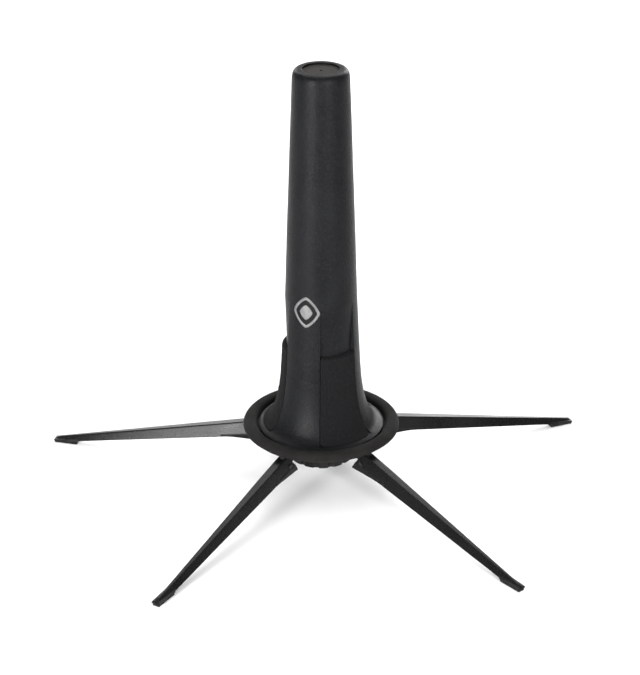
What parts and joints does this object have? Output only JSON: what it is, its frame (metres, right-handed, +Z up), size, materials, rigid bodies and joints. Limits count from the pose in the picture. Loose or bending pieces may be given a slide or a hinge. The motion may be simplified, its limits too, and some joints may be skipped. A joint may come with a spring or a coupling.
{
  "type": "in-bell cornet stand",
  "caption": "Folding cornet stand: tapered peg with felt pads and a cushion ring that goes inside the bell, on slim hinged legs that fold down, clamped by a knurled knob.",
  "frame": {"origin": "on the floor plane, on the vertical axis of the peg", "axes": "+Z up along the peg, +Y along one leg, X level; units metres"},
  "size_m": [0.2656, 0.2527, 0.2088],
  "materials": {
    "peg_plastic": "fine moulded texture, satin",
    "cap_plastic": "smooth satin",
    "felt": "short matted felt",
    "inner_plastic": "plain moulded",
    "brass": "turned",
    "carrier_plastic": "satin moulded",
    "ring_rubber": "matte closed-cell foam rubber",
    "steel": "zinc plated",
    "knob_plastic": "satin moulded, notched edge",
    "leg_paint": "black satin coat on die-cast metal",
    "sole_rubber": "matte",
    "pin_steel": "drawn wire"
  },
  "bodies": {
    "carrier": {"leg_carrier": "carrier_plastic", "bell_ring": "ring_rubber", "washer": "steel", "pivot_pin_1": "pin_steel", "pivot_pin_2": "pin_steel", "pivot_pin_3": "pin_steel", "pivot_pin_4": "pin_steel", "pivot_pin_5": "pin_steel"},
    "peg": {"peg_shell": "peg_plastic", "top_cap": "cap_plastic", "felt_pad_1": "felt", "felt_pad_2": "felt", "felt_pad_3": "felt", "base_plug": "inner_plastic", "threaded_insert": "brass"},
    "clamp_knob": {"knurled_knob": "knob_plastic", "knob_bolt": "steel"},
    "leg_1_body": {"leg_1": "leg_paint", "foot_pad_1": "sole_rubber"},
    "leg_2_body": {"leg_2": "leg_paint", "foot_pad_2": "sole_rubber"},
    "leg_3_body": {"leg_3": "leg_paint", "foot_pad_3": "sole_rubber"},
    "leg_4_body": {"leg_4": "leg_paint", "foot_pad_4": "sole_rubber"},
    "leg_5_body": {"leg_5": "leg_paint", "foot_pad_5": "sole_rubber"}
  },
  "joints": [
    {"name": "peg_lift", "type": "slide", "parent": "carrier", "child": "peg", "axis": [0, 0, 1], "range_m": [0, 0.06]},
    {"name": "knob_turn", "type": "hinge", "parent": "carrier", "child": "clamp_knob", "pos_m": [0, 0, 0.0115], "axis": [0, 0, 1], "continuous": true},
    {"name": "leg_1_fold", "type": "hinge", "parent": "carrier", "child": "leg_1_body", "pos_m": [0, 0.0334, 0.0206], "axis": [-1, 0, 0], "range_deg": [0, 84]},
    {"name": "leg_2_fold", "type": "hinge", "parent": "carrier", "child": "leg_2_body", "pos_m": [-0.03177, 0.01032, 0.0206], "axis": [-0.309, -0.9511, 0], "range_deg": [0, 84]},
    {"name": "leg_3_fold", "type": "hinge", "parent": "carrier", "child": "leg_3_body", "pos_m": [-0.01963, -0.02702, 0.0206], "axis": [0.809, -0.5878, 0], "range_deg": [0, 84]},
    {"name": "leg_4_fold", "type": "hinge", "parent": "carrier", "child": "leg_4_body", "pos_m": [0.01963, -0.02702, 0.0206], "axis": [0.809, 0.5878, 0], "range_deg": [0, 84]},
    {"name": "leg_5_fold", "type": "hinge", "parent": "carrier", "child": "leg_5_body", "pos_m": [0.03177, 0.01032, 0.0206], "axis": [-0.309, 0.9511, 0], "range_deg": [0, 84]}
  ]
}
